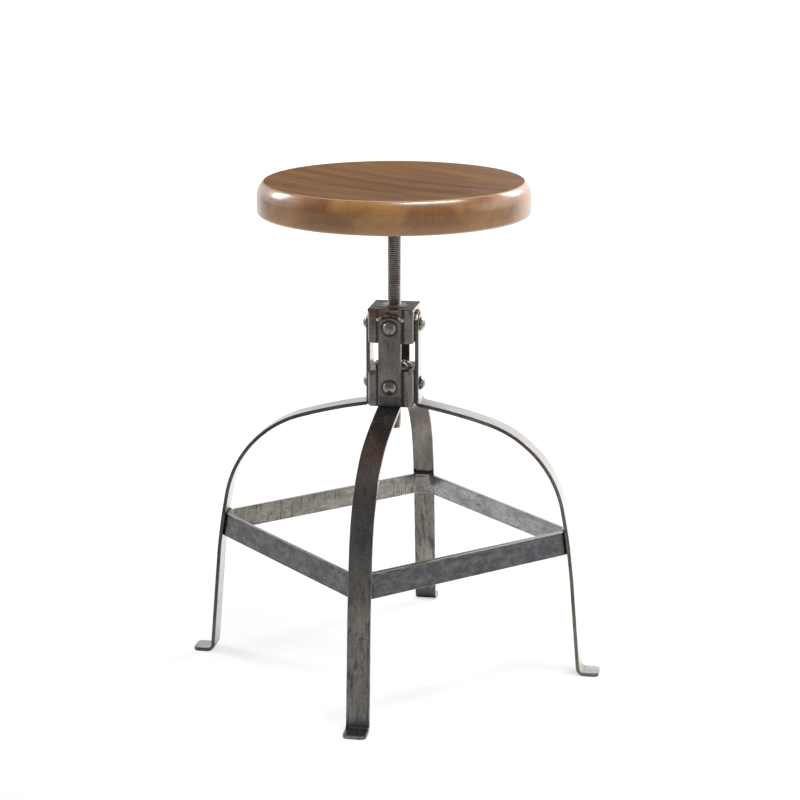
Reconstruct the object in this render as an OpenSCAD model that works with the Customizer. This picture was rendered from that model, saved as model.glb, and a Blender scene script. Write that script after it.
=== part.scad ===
// Adjustable screw stool: a turned wooden seat on a threaded rod, carried by four bent flat-bar legs.
// The origin is on the floor, straight below the rod. Z is up and the front leg points along -Y.

/* [Seat board] */
// Outside diameter of the seat
seat_d = 356; // [300:1:420]
// Thickness of the seat at its edge
seat_t = 43; // [36:0.5:60]
// Height of the seat's underside above the floor, as shown
seat_z = 618; // [590:1:660]
// Depth of the hollow turned into the top
seat_dish = 4; // [1:0.5:8]
// Radius of the small round next to the crisp top edge
rim_top_r = 8.6; // [4:0.2:12]
// Radius of the large round that runs into the side
rim_side_r = 27; // [16:0.5:30]
// Radius of the seat's bottom edge
seat_foot_r = 5; // [2:0.5:9]

/* [Threaded rod] */
// Outside diameter of the rod
rod_d = 18; // [14:0.5:22]
// Length of the rod
rod_l = 288; // [262:1:300]
// Chamfer on the lower end of the rod
rod_chamfer = 1.5; // [0.5:0.1:3]
// Radial clearance of the rod in its threaded bores
thread_gap = 0.06; // [0.02:0.01:0.1]

/* [Seat hardware] */
// Diameter of the steel flange under the seat
flange_d = 120; // [90:1:150]
// Thickness of the flange
flange_t = 5; // [3:0.5:8]
// Diameter of the circle that the wood screws stand on
screw_circle_d = 92; // [70:1:100]
// Shank diameter of a wood screw
wood_screw_d = 5; // [4:0.5:6]
// Length of a wood screw below its head
wood_screw_l = 28; // [20:1:34]
// Head diameter of a wood screw
wood_head_d = 10; // [8:0.5:12]
// Head height of a wood screw
wood_head_h = 3; // [2:0.5:4]
// Outside diameter of the washer on the rod
washer_d = 34; // [28:1:44]
// Thickness of the washer
washer_t = 3; // [2:0.5:4]
// Gap above and below the washer, which stays free to turn
washer_gap = 0.3; // [0.2:0.05:0.5]
// Width across the flats of the nut under the washer
jam_nut_af = 27; // [24:1:34]
// Height of the nut under the washer
jam_nut_h = 9; // [7:0.5:14]

/* [Brackets] */
// Outside width of the square tubes
tube_w = 60; // [48:0.5:66]
// Wall of the square tubes
tube_wall = 3; // [2:0.5:4]
// Outer corner radius of the square tubes
tube_corner_r = 6; // [4:0.5:8]
// Height of the lower tube's lower end above the floor
lower_tube_z = 365; // [350:1:372]
// Length of the lower tube
lower_tube_h = 45; // [40:0.5:50]
// Height of the upper tube's lower end above the floor
upper_tube_z = 450.3; // [446:0.1:470]
// Length of the upper tube
upper_tube_h = 41.7; // [36:0.1:50]
// Thickness of the plates
plate_t = 3.5; // [2:0.5:6]
// Outside diameter of the threaded bushes
bush_d = 30; // [26:1:32]
// Length of the threaded bushes
bush_l = 26; // [15:1:30]
// How far a bush stands up above its plate
bush_proud = 1.5; // [0.5:0.1:4]
// Gap round a bush in its plate, filled by the weld
bush_gap = 0.1; // [0.05:0.05:0.3]

/* [Legs] */
// Width of the flat bar
leg_w = 30; // [24:0.5:36]
// Thickness of the flat bar
leg_t = 5; // [3:0.5:7]
// Height of the strap's top above the upper bolts
strap_over = 14; // [11:0.5:16]
// Radius of the arc that ends the strap
strap_end_r = 22; // [19:0.5:40]
// Height of the lower bolts above the start of the bend
bend_drop = 23.1; // [18:0.1:26]
// Inside radius of the bend below the lower bracket
bend_in_r = 2; // [1:0.5:6]
// Slope of the leg as it leaves the bend, below level
run_slope = 9.5; // [7:0.5:15]
// Length of the almost straight run
run_l = 92; // [75:0.5:110]
// How far the run turns down along its length
run_turn = 7.5; // [3:0.5:10]
// Radius of the shoulder of the leg
sweep_r = 148; // [135:1:165]
// How far the shoulder turns down
sweep_turn = 61.7; // [56:0.1:63]
// Length of the slack bow that carries the footrest
flare_l = 101; // [90:1:110]
// How far the slack bow turns down
flare_turn = 6.4; // [5:0.1:8]
// Inside radius of the bend above the foot
foot_in_r = 6.5; // [4:0.5:10]
// Length of the flat foot beyond its bend
foot_l = 19; // [14:0.5:28]
// Corner radius of the foot
foot_corner_r = 7; // [3:0.5:11]

/* [Bolts] */
// Shank diameter of the strap bolts
bolt_d = 8; // [6:0.5:10]
// Diameter of the domed heads
head_d = 18; // [15:0.5:20]
// Height of the domed heads
head_h = 7; // [5:0.5:8]
// Height of the straight rim of a head
head_rim = 1.2; // [0.5:0.1:2]
// Radial clearance of the bolt holes
bolt_gap = 0.2; // [0.1:0.05:0.5]
// Width across the flats of the nuts inside the tubes
nut_af = 13; // [13:0.5:15]
// Height of the nuts inside the tubes
nut_h = 6.5; // [4:0.5:7]
// Length of bolt that shows beyond its nut
bolt_end = 1.5; // [0.5:0.5:2]
// Height of the upper bolts above the upper tube's lower end
upper_bolt_rise = 21.2; // [18:0.1:25]
// Height of the lower bolts above the lower tube's lower end
lower_bolt_rise = 27; // [22:0.5:30]

/* [Footrest ring] */
// Height of the footrest's underside above the floor
ring_z = 169.5; // [140:0.5:180]
// Width of the footrest's bar, which stands on edge
ring_h = 30; // [24:0.5:36]
// Thickness of the footrest's bar
ring_t = 5; // [3:0.5:7]
// Width of the short flats that meet the legs, at their lower edge and to the sharp corners
ring_flat_w = 25.4; // [20:0.2:30]
// Outside radius of the bends at the footrest's lower edge
ring_bend_r = 14; // [11:0.5:20]
// Gap between the footrest and the legs, closed by the welds
ring_gap = 0.1; // [0.05:0.05:0.5]

/* [Hidden] */
$fn = 96;
eps = 0.01;

// Seat profile, from the underside up
rim_start = 70;
rim_mid = 40;
rim_drop = rim_top_r * (sin(rim_start) - sin(rim_mid)) + rim_side_r * sin(rim_mid);
side_top_z = seat_t - rim_drop;
side_c = [seat_d / 2 - rim_side_r, side_top_z];
top_c = side_c + (rim_side_r - rim_top_r) * [cos(rim_mid), sin(rim_mid)];
crisp_edge = top_c + rim_top_r * [cos(rim_start), sin(rim_start)];
dish_r = (crisp_edge[0] * crisp_edge[0] + seat_dish * seat_dish) / (2 * seat_dish);

// Stack below the seat, from the top down
flange_z = seat_z - flange_t;
washer_z = flange_z - washer_gap - washer_t;
jam_nut_z = washer_z - washer_gap - jam_nut_h;
rod_z = seat_z - rod_l;
rod_bore_d = rod_d + 2 * thread_gap;

// Brackets
lower_plate_z = lower_tube_z + lower_tube_h;
upper_plate_z = upper_tube_z + upper_tube_h;
lower_bolt_z = lower_tube_z + lower_bolt_rise;
upper_bolt_z = upper_tube_z + upper_bolt_rise;
strap_in = tube_w / 2;
strap_top = upper_bolt_z + strap_over;
bolt_hole_d = bolt_d + 2 * bolt_gap;

// Path of a leg's centre line, as [reach, height]. A heading is an angle below level.
function across(a) = [sin(a), cos(a)];
heading1 = run_slope;
heading2 = heading1 + run_turn;
heading3 = heading2 + sweep_turn;
heading4 = heading3 + flare_turn;
bend_r = bend_in_r + leg_t / 2;
run_r = run_l * 180 / (PI * run_turn);
flare_r = flare_l * 180 / (PI * flare_turn);
foot_r = foot_in_r + leg_t / 2;
bend_c = [strap_in + leg_t / 2 + bend_r, lower_bolt_z - bend_drop];
run_start = bend_c - bend_r * across(heading1);
run_c = run_start - run_r * across(heading1);
sweep_start = run_c + run_r * across(heading2);
sweep_c = sweep_start - sweep_r * across(heading2);
flare_start = sweep_c + sweep_r * across(heading3);
flare_c = flare_start - flare_r * across(heading3);
shin_start = flare_c + flare_r * across(heading4);
shin_end_z = leg_t / 2 + foot_r * (1 - cos(heading4));
shin_l = (shin_start[1] - shin_end_z) / sin(heading4);
foot_c = [shin_start[0] + shin_l * cos(heading4) + foot_r * sin(heading4), leg_t / 2 + foot_r];
foot_tip = foot_c[0] + foot_l;

// Reach of a leg's inner face at a height on the shoulder, the bow or the shin
function arc_reach(c, r, z) = c[0] + sqrt((r - leg_t / 2) * (r - leg_t / 2) - (z - c[1]) * (z - c[1]));
function shin_reach(z) = shin_start[0] - leg_t / 2 * sin(heading4)
    + (shin_start[1] - leg_t / 2 * cos(heading4) - z) / tan(heading4);
function inner_reach(z) = z > flare_start[1] ? arc_reach(sweep_c, sweep_r, z)
    : z > shin_start[1] ? arc_reach(flare_c, flare_r, z) : shin_reach(z);
ring_low_reach = inner_reach(ring_z) - ring_gap;
ring_top_reach = inner_reach(ring_z + ring_h) - ring_gap;
ring_slope = (ring_low_reach - ring_top_reach) / ring_h;
ring_foot_t = ring_t * sqrt(1 + ring_slope * ring_slope);
ring_bend_x = round(100 * (ring_low_reach - ring_bend_r)) / 100;
ring_bend_y = round(100 * (ring_flat_w / 2 - ring_bend_r * tan(22.5))) / 100;
ring_hair = 0.02;

// Where two stretches of a leg meet, one is thinner by this step and reaches into the other.
seam_step = 0.02;
seam_reach = 0.4;

module round_square(w, r) {
    union() {
        square([w - 2 * r, w], center = true);
        square([w, w - 2 * r], center = true);
        for (x = [-1, 1], y = [-1, 1])
            translate([x * (w / 2 - r), y * (w / 2 - r)])
                circle(r);
    }
}

// Slice of a disc between two angles
module sector(c, r, from, to) {
    intersection() {
        translate(c)
            circle(r);
        polygon([c, c + 2 * r * [cos(from), sin(from)], c + 2 * r * [cos(to), sin(to)]]);
    }
}

module hex_nut(af, h, bore) {
    corner_d = af / cos(30);
    difference() {
        intersection() {
            cylinder(d = corner_d, h = h, $fn = 6);
            cylinder(d1 = af, d2 = af + 4 * h, h = h);
            cylinder(d1 = af + 4 * h, d2 = af, h = h);
        }
        translate([0, 0, -1])
            cylinder(d = bore, h = h + 2);
    }
}

module around(n) {
    for (i = [0 : n - 1])
        rotate(i * 360 / n)
            children();
}

module seat_profile() {
    difference() {
        union() {
            square([seat_d / 2 - seat_foot_r, side_top_z]);
            translate([0, seat_foot_r])
                square([seat_d / 2, side_top_z - seat_foot_r]);
            translate([seat_d / 2 - seat_foot_r, seat_foot_r])
                intersection() {
                    circle(seat_foot_r);
                    translate([0, -seat_foot_r])
                        square(seat_foot_r);
                }
            sector(side_c, rim_side_r, 0, rim_mid);
            sector(top_c, rim_top_r, rim_mid, rim_start);
            polygon([[0, side_top_z], side_c, top_c, crisp_edge, [0, crisp_edge[1]]]);
        }
        translate([0, crisp_edge[1] + dish_r - seat_dish])
            circle(dish_r, $fn = 1800);
    }
}

module seat_board() {
    color("sienna")
        translate([0, 0, seat_z])
            difference() {
                rotate_extrude($fn = 144)
                    seat_profile();
                rotate(45)
                    around(4)
                        translate([screw_circle_d / 2, 0, -1])
                            cylinder(d = wood_screw_d + 2 * thread_gap, h = wood_screw_l - flange_t + 2, $fn = 24);
            }
}

module seat_flange() {
    color("dimgray")
        translate([0, 0, flange_z])
            difference() {
                cylinder(d = flange_d, h = flange_t);
                translate([0, 0, -1])
                    cylinder(d = rod_bore_d, h = flange_t + 2);
                rotate(45)
                    around(4)
                        translate([screw_circle_d / 2, 0, -1])
                            cylinder(d = wood_screw_d + 2 * bolt_gap, h = flange_t + 2, $fn = 24);
            }
}

module wood_screw() {
    translate([0, 0, -wood_head_h])
        cylinder(d1 = wood_head_d * 0.7, d2 = wood_head_d, h = wood_head_h, $fn = 32);
    cylinder(d = wood_screw_d, h = wood_screw_l - wood_screw_d, $fn = 24);
    translate([0, 0, wood_screw_l - wood_screw_d])
        cylinder(d1 = wood_screw_d, d2 = 0.6, h = wood_screw_d, $fn = 24);
}

module seat_screws() {
    color("gray")
        rotate(45)
            around(4)
                translate([screw_circle_d / 2, 0, flange_z])
                    wood_screw();
}

module thrust_washer() {
    color("darkgray")
        translate([0, 0, washer_z])
            difference() {
                cylinder(d = washer_d, h = washer_t);
                translate([0, 0, -1])
                    cylinder(d = rod_bore_d, h = washer_t + 2);
            }
}

module jam_nut() {
    color("dimgray")
        translate([0, 0, jam_nut_z])
            hex_nut(jam_nut_af, jam_nut_h, rod_bore_d);
}

module threaded_rod() {
    color("dimgray")
        translate([0, 0, rod_z]) {
            cylinder(d1 = rod_d - 2 * rod_chamfer, d2 = rod_d, h = rod_chamfer);
            translate([0, 0, rod_chamfer])
                cylinder(d = rod_d, h = rod_l - rod_chamfer);
        }
}

module bracket_tube(z, h, bolt_z) {
    difference() {
        translate([0, 0, z])
            linear_extrude(h)
                difference() {
                    round_square(tube_w, tube_corner_r);
                    round_square(tube_w - 2 * tube_wall, tube_corner_r - tube_wall);
                }
        around(4)
            translate([tube_w / 2 - tube_wall - 1, 0, bolt_z])
                rotate([0, 90, 0])
                    cylinder(d = bolt_hole_d, h = tube_wall + 2, $fn = 32);
    }
}

module bracket_plate(z) {
    translate([0, 0, z])
        difference() {
            linear_extrude(plate_t)
                square(tube_w, center = true);
            translate([0, 0, -1])
                cylinder(d = bush_d + 2 * bush_gap, h = plate_t + 2);
        }
}

module bracket_bush(z) {
    translate([0, 0, z + plate_t + bush_proud - bush_l])
        difference() {
            cylinder(d = bush_d, h = bush_l);
            translate([0, 0, -1])
                cylinder(d = rod_bore_d, h = bush_l + 2);
        }
}

module upper_tube() {
    color("dimgray")
        bracket_tube(upper_tube_z, upper_tube_h, upper_bolt_z);
}

module lower_tube() {
    color("dimgray")
        bracket_tube(lower_tube_z, lower_tube_h, lower_bolt_z);
}

module upper_plate() {
    color("dimgray")
        bracket_plate(upper_plate_z);
}

module lower_plate() {
    color("dimgray")
        bracket_plate(lower_plate_z);
}

module upper_bush() {
    color("darkgray")
        bracket_bush(upper_plate_z);
}

module lower_bush() {
    color("darkgray")
        bracket_bush(lower_plate_z);
}

// Bent stretch of the bar about a centre, from one angle to another, thinned by some steps
module bar_arc(c, r, from, to, steps = 0) {
    thinned = steps * seam_step;
    longer = steps > 0 ? seam_reach * 180 / (PI * r) : 0;
    translate([c[0], 0, c[1]])
        rotate([90, 0, 0])
            rotate(from - longer)
                rotate_extrude(angle = to - from + 2 * longer, $fn = 720)
                    translate([r - leg_t / 2 + thinned, thinned - leg_w / 2])
                        square([leg_t - 2 * thinned, leg_w - 2 * thinned]);
}

module strap_outline() {
    translate([-leg_w / 2, bend_c[1]])
        square([leg_w, strap_top - strap_end_r + eps - bend_c[1]]);
    intersection() {
        translate([-leg_w / 2, strap_top - strap_end_r])
            square([leg_w, strap_end_r]);
        translate([0, strap_top - strap_end_r])
            circle(strap_end_r);
    }
}

module foot_outline() {
    translate([foot_c[0], -leg_w / 2])
        square([foot_l - foot_corner_r, leg_w]);
    translate([foot_c[0], foot_corner_r - leg_w / 2])
        square([foot_l, leg_w - 2 * foot_corner_r]);
    for (y = [-1, 1])
        translate([foot_tip - foot_corner_r, y * (leg_w / 2 - foot_corner_r)])
            circle(foot_corner_r);
}

// One leg, standing along +X. Where two stretches meet, the thinner one ends inside the other.
module leg() {
    difference() {
        union() {
            translate([strap_in, 0, 0])
                rotate([90, 0, 90])
                    linear_extrude(leg_t)
                        strap_outline();
            bar_arc(bend_c, bend_r, 180, 270 - heading1, 1);
            bar_arc(run_c, run_r, 90 - heading2, 90 - heading1);
            bar_arc(sweep_c, sweep_r, 90 - heading3, 90 - heading2, 1);
            bar_arc(flare_c, flare_r, 90 - heading4, 90 - heading3);
            translate([shin_start[0], 0, shin_start[1]])
                rotate([0, heading4, 0])
                    translate([-seam_reach, seam_step - leg_w / 2, seam_step - leg_t / 2])
                        cube([shin_l + seam_reach, leg_w - 2 * seam_step, leg_t - 2 * seam_step]);
            bar_arc(foot_c, foot_r, 270 - heading4, 270, 2);
            linear_extrude(leg_t)
                foot_outline();
        }
        for (z = [upper_bolt_z, lower_bolt_z])
            translate([strap_in - 1, 0, z])
                rotate([0, 90, 0])
                    cylinder(d = bolt_hole_d, h = leg_t + 2, $fn = 32);
    }
}

module leg_right() {
    color("gray")
        leg();
}

module leg_back() {
    color("gray")
        rotate(90)
            leg();
}

module leg_left() {
    color("gray")
        rotate(180)
            leg();
}

module leg_front() {
    color("dimgray")
        rotate(270)
            leg();
}

// Bolt along +X, with its head's seat at the origin
module strap_bolt() {
    dome_h = head_h - head_rim;
    dome_r = (head_d * head_d / 4 + dome_h * dome_h) / (2 * dome_h);
    shank_l = leg_t + tube_wall + nut_h + bolt_end;
    rotate([0, 90, 0])
        rotate_extrude() {
            square([head_d / 2, head_rim]);
            intersection() {
                translate([0, head_h - dome_r])
                    circle(dome_r);
                translate([0, head_rim - eps])
                    square([head_d / 2, head_h]);
            }
            translate([0, -shank_l])
                square([bolt_d / 2, shank_l + eps]);
        }
}

module bolts_at(z) {
    around(4)
        translate([strap_in + leg_t, 0, z])
            strap_bolt();
}

module nuts_at(z) {
    around(4)
        translate([tube_w / 2 - tube_wall, 0, z])
            rotate([0, -90, 0])
                hex_nut(nut_af, nut_h, bolt_d + 2 * thread_gap);
}

module upper_bolts() {
    color("darkgray")
        bolts_at(upper_bolt_z);
}

module lower_bolts() {
    color("darkgray")
        bolts_at(lower_bolt_z);
}

module upper_nuts() {
    color("gray")
        nuts_at(upper_bolt_z);
}

module lower_nuts() {
    color("gray")
        nuts_at(lower_bolt_z);
}

// Section of the leaning bar, drawn too tall at both ends. Grow thickens it.
module ring_bar(grow, spare) {
    function face(z) = ring_bend_r - ring_slope * z;
    polygon([[face(-spare) + grow, -spare], [face(ring_h + spare) + grow, ring_h + spare],
        [face(ring_h + spare) - ring_foot_t - grow, ring_h + spare],
        [face(-spare) - ring_foot_t - grow, -spare]]);
}

// Straight piece of the bar, centred on the X axis and running along Y
module ring_straight(l, grow, spare) {
    rotate([90, 0, 0])
        linear_extrude(l, center = true)
            ring_bar(grow, spare);
}

// The bent corners stand a hair proud of the straight bars, whose ends reach into the bends.
module footrest_ring() {
    color("gray")
        translate([0, 0, ring_z])
            intersection() {
                around(4) {
                    translate([ring_bend_x, 0, 0])
                        ring_straight(2 * ring_bend_y, ring_hair, 1);
                    for (side = [0, 1])
                        mirror([0, side, 0])
                            translate([ring_bend_x, ring_bend_y, 0])
                                rotate_extrude(angle = 45, $fn = 256)
                                    ring_bar(ring_hair, 1);
                    rotate(45)
                        translate([(ring_bend_x + ring_bend_y) / sqrt(2), 0, 0])
                            ring_straight(sqrt(2) * (ring_bend_x - ring_bend_y) + 40 * ring_hair, 0, 2);
                }
                cylinder(r = foot_tip, h = ring_h);
            }
}

seat_board();
seat_flange();
seat_screws();
thrust_washer();
jam_nut();
threaded_rod();
upper_tube();
upper_plate();
upper_bush();
lower_tube();
lower_plate();
lower_bush();
leg_front();
leg_right();
leg_back();
leg_left();
upper_bolts();
lower_bolts();
upper_nuts();
lower_nuts();
footrest_ring();
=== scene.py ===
import math

import bmesh
import bpy
from mathutils import Matrix, Vector, noise


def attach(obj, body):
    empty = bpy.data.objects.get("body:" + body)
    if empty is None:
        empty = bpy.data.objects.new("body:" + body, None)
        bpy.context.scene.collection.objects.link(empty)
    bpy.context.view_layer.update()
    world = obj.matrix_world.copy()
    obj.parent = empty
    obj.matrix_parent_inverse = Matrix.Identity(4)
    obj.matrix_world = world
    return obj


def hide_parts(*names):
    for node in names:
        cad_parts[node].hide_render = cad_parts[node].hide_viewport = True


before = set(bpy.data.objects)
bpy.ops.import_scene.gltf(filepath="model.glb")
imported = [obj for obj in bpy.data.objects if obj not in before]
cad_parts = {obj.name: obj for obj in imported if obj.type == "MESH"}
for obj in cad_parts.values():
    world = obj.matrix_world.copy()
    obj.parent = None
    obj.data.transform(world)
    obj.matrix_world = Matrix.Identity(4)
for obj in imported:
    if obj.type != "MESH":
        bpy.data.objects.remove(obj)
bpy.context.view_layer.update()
MM = 0.001

# Sizes in millimetres and degrees, as in the part's source
SEAT_R = 178.0
SEAT_Z = 618.0
SEAT_T = 43.0
SEAT_DISH = 4.0
RIM_TOP_R = 8.6
RIM_SIDE_R = 27.0
RIM_MID = 40.0
RIM_START = 70.0
SEAT_FOOT_R = 5.0
ROD_R = 9.0
ROD_PITCH = 2.5
ROD_ROOT_R = 7.5
ROD_CHAMFER = 1.5
ROD_Z = (330.0, 618.0)
THREAD_GAP = 0.06
TUBE_W = 60.0
TUBE_WALL = 3.0
TUBE_CORNER_R = 6.0
PLATE_T = 3.5
LOWER_TUBE = (365.0, 410.0)
UPPER_TUBE = (450.3, 492.0)
BUSH_R = 15.0
BUSH_L = 26.0
BUSH_PROUD = 1.5
BUSH_GAP = 0.1
BAR_W = 30.0
BAR_T = 5.0
UPPER_BOLT_Z = 471.5
LOWER_BOLT_Z = 392.0
SHANK_R = 4.0
SHANK_L = 16.0
HEAD_R = 9.0
HEAD_H = 7.0
HEAD_RIM = 1.2
STRAP_TOP = 485.5
STRAP_END_R = 22.0
BEND_Z = 368.9
BEND_IN_R = 2.0
RUN_SLOPE = 9.5
RUN_L = 92.0
RUN_TURN = 7.5
SWEEP_R = 148.0
SWEEP_TURN = 61.7
FLARE_L = 101.0
FLARE_TURN = 6.4
FOOT_IN_R = 6.5
FOOT_L = 19.0
FOOT_CORNER_R = 7.0
RING_Z = (169.5, 199.5)
RING_LOW_REACH = 235.06
RING_SLOPE = 0.1467
RING_BEND_R = 14.0
RING_BEND_Y = 6.9

QUARTERS = (0, 90, 180, 270)
LEGS = {"leg_front": 270, "leg_right": 0, "leg_back": 90, "leg_left": 180}

# Along the bar, the flat patterns of the legs lie one after the other, and the footrest's lies past them
LEG_SHIFT = 1370.0
RING_SHIFT = 9100.0
# How far along a leg's bar the foot's bend starts, in metres
FOOT_BEND = 0.596

# Mesh tools
def add_object(name, bm):
    """Makes an object of a finished bmesh and puts it in the scene."""
    mesh = bpy.data.meshes.new(name)
    bm.to_mesh(mesh)
    bm.free()
    thing = bpy.data.objects.new(name, mesh)
    bpy.context.scene.collection.objects.link(thing)
    return thing


def finish_piece(bm, name, body, material, replaced=(), sharp=32, flat=True):
    """Turns a finished bmesh, drawn in millimetres, into a piece that rides on a body."""
    bmesh.ops.remove_doubles(bm, verts=bm.verts[:], dist=0.002)
    bmesh.ops.recalc_face_normals(bm, faces=bm.faces[:])
    bmesh.ops.scale(bm, vec=(MM, MM, MM), verts=bm.verts[:])
    piece = add_object(name, bm)
    piece.data.shade_smooth()
    piece.data.set_sharp_from_angle(angle=math.radians(sharp))
    piece.data.materials.append(material)
    if flat:
        steady = piece.modifiers.new("flat_faces", "WEIGHTED_NORMAL")
        steady.keep_sharp = True
    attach(piece, body)
    if replaced:
        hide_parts(*replaced)


def about_z(angle):
    return Matrix.Rotation(math.radians(angle), 3, "Z")


def blank_layer(bm):
    """Holds where each point lies before bending, in metres, for patterns that follow the bar."""
    return bm.verts.layers.float_vector.new("blank")


def row_of_points(bm, points):
    """Joined points of (radius, height), ready to be spun about Z."""
    row = [bm.verts.new((r, 0, z)) for r, z in points]
    return row + [bm.edges.new(pair) for pair in zip(row, row[1:])]


def lathe(bm, outline, steps):
    """Turns an outline of (radius, height) points about Z."""
    bmesh.ops.spin(bm, geom=row_of_points(bm, outline), cent=(0, 0, 0), axis=(0, 0, 1), angle=math.tau,
                   steps=steps, use_merge=True)
    bmesh.ops.remove_doubles(bm, verts=bm.verts[:], dist=0.001)


def move(bm, vec):
    bmesh.ops.translate(bm, vec=vec, verts=bm.verts[:])


def turn(bm, matrix):
    bmesh.ops.rotate(bm, verts=bm.verts[:], cent=(0, 0, 0), matrix=matrix)


def sheet(length, width, at=(0, 0, 0)):
    """A new mesh that holds one flat rectangle, centred on a place."""
    bm = bmesh.new()
    bmesh.ops.create_grid(bm, x_segments=1, y_segments=1, size=0.5)
    bmesh.ops.scale(bm, vec=(length, width, 1), verts=bm.verts[:])
    move(bm, at)
    return bm


def thicken(bm, height):
    """Raises a flat sheet into a solid."""
    lifted = bmesh.ops.extrude_face_region(bm, geom=bm.faces[:])
    moved = [part for part in lifted["geom"] if isinstance(part, bmesh.types.BMVert)]
    bmesh.ops.translate(bm, vec=(0, 0, height), verts=moved)


def cut_across(bm, places):
    """Cuts the mesh across X at each place."""
    for place in places:
        bmesh.ops.bisect_plane(bm, geom=bm.verts[:] + bm.edges[:] + bm.faces[:],
                               plane_co=(place, 0, 0), plane_no=(1, 0, 0))


def slice_runs(bm, runs):
    """Cuts the mesh at the ends of each run (start, end, pitch) along X, and slices it at that pitch."""
    ends = sorted({round(place, 4) for start, end, _ in runs for place in (start, end)})
    cut_across(bm, ends[1:-1])
    for start, end, pitch in runs:
        slices = max(1, round((end - start) / pitch))
        if slices > 1:
            spans = [e for e in bm.edges
                     if abs(min(v.co.x for v in e.verts) - start) < 0.01
                     and abs(max(v.co.x for v in e.verts) - end) < 0.01]
            bmesh.ops.subdivide_edges(bm, edges=spans, cuts=slices - 1, use_grid_fill=True)


def round_edges(bm, edges, offset):
    bmesh.ops.bevel(bm, geom=edges, offset=offset, segments=2, profile=0.5,
                    affect="EDGES", material=-1, clamp_overlap=True)


def round_corners(bm, corners, r):
    bmesh.ops.bevel(bm, geom=corners, offset=r, segments=6, profile=0.5, affect="VERTICES", material=-1)


def creased(bm, angle=50):
    return [e for e in bm.edges if len(e.link_faces) == 2 and e.calc_face_angle() > math.radians(angle)]


def level_creases(bm, angle=50):
    return [e for e in creased(bm, angle) if abs(e.verts[0].co.z - e.verts[1].co.z) < 0.1]


def arc(cx, cy, r, start, end, count):
    angles = [math.radians(start + (end - start) * i / count) for i in range(count + 1)]
    return [(cx + r * math.cos(a), cy + r * math.sin(a)) for a in angles]


def spread(half, count):
    """Evenly spaced places from minus a half length to plus that half length."""
    return [-half + 2 * half * step / (count - 1) for step in range(count)]


# Material tools
class Graph:
    """Places nodes in a tree and joins them."""

    def __init__(self, tree):
        self.tree = tree

    def put(self, kind, inputs=None, **settings):
        node = self.tree.nodes.new(kind)
        for key, value in settings.items():
            setattr(node, key, value)
        for key, value in (inputs or {}).items():
            if isinstance(value, bpy.types.NodeSocket):
                self.tree.links.new(value, node.inputs[key])
            else:
                node.inputs[key].default_value = value
        return node

    def group(self, tree, place):
        """A shared effect that reads a place, and its outputs."""
        node = self.put("ShaderNodeGroup", node_tree=tree)
        self.tree.links.new(place, node.inputs["Place"])
        return node.outputs

    def calc(self, operation, a, b=0.0):
        return self.put("ShaderNodeMath", {0: a, 1: b}, operation=operation).outputs[0]

    def chain(self, operation, values):
        result = values[0]
        for value in values[1:]:
            result = self.calc(operation, result, value)
        return result

    def times(self, *values):
        return self.chain("MULTIPLY", values)

    def plus(self, *values):
        return self.chain("ADD", values)

    def most(self, *values):
        return self.chain("MAXIMUM", values)

    def minus(self, a, b):
        return self.calc("SUBTRACT", a, b)

    def size_of(self, value):
        return self.calc("ABSOLUTE", value)

    def distance(self, a, b):
        """How far a point lies from the middle, from its two offsets."""
        return self.calc("POWER", self.plus(self.times(a, a), self.times(b, b)), 0.5)

    def coordinates(self, kind="Object"):
        return self.put("ShaderNodeTexCoord").outputs[kind]

    def axes(self, vector):
        return self.put("ShaderNodeSeparateXYZ", {0: vector}).outputs

    def mix(self, share, a, b):
        return self.put("ShaderNodeMix", {0: share, 6: a, 7: b}, data_type="RGBA").outputs[2]

    def tint(self, colour, mask, share, over):
        """Lays a colour over another where a mask says, by a share."""
        return self.mix(self.times(mask, share), colour, over)

    def span(self, value, low, high, to_low=0.0, to_high=1.0):
        return self.put("ShaderNodeMapRange", {0: value, 1: low, 2: high, 3: to_low, 4: to_high},
                        interpolation_type="SMOOTHSTEP").outputs[0]

    def noise(self, vector, scale, detail, rough, warp=0.0):
        return self.put("ShaderNodeTexNoise", {"Vector": vector, "Scale": scale, "Detail": detail,
                                               "Roughness": rough, "Distortion": warp}).outputs[0]

    def stretch(self, vector, factor, turn=(0.0, 0.0, 0.0)):
        return self.put("ShaderNodeMapping", {"Vector": vector, "Scale": factor, "Rotation": turn}).outputs[0]

    def drawn(self, vector, factor, detail, rough, warp=0.0, turn=(0.0, 0.0, 0.0)):
        """Noise that is drawn out or packed by its own factor along each axis."""
        return self.noise(self.stretch(vector, factor, turn), 1.0, detail, rough, warp)


def shade(red, green, blue):
    """A colour in linear light."""
    return (red, green, blue, 1.0)


def shared_effect(name, inputs, outputs):
    """Starts a node group with named sockets, and gives its graph, its inputs and its outputs."""
    tree = bpy.data.node_groups.new(name, "ShaderNodeTree")
    tree.interface.new_socket("Place", in_out="INPUT", socket_type="NodeSocketVector")
    for title, value in inputs:
        socket = tree.interface.new_socket(title, in_out="INPUT", socket_type="NodeSocketFloat")
        socket.default_value = value
    for title in outputs:
        tree.interface.new_socket(title, in_out="OUTPUT", socket_type="NodeSocketFloat")
    graph = Graph(tree)
    given = graph.put("NodeGroupInput").outputs
    return graph, given, graph.put("NodeGroupOutput").inputs


def put_out(graph, result, values):
    for title, value in values.items():
        graph.tree.links.new(value, result[title])
    return graph.tree


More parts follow.
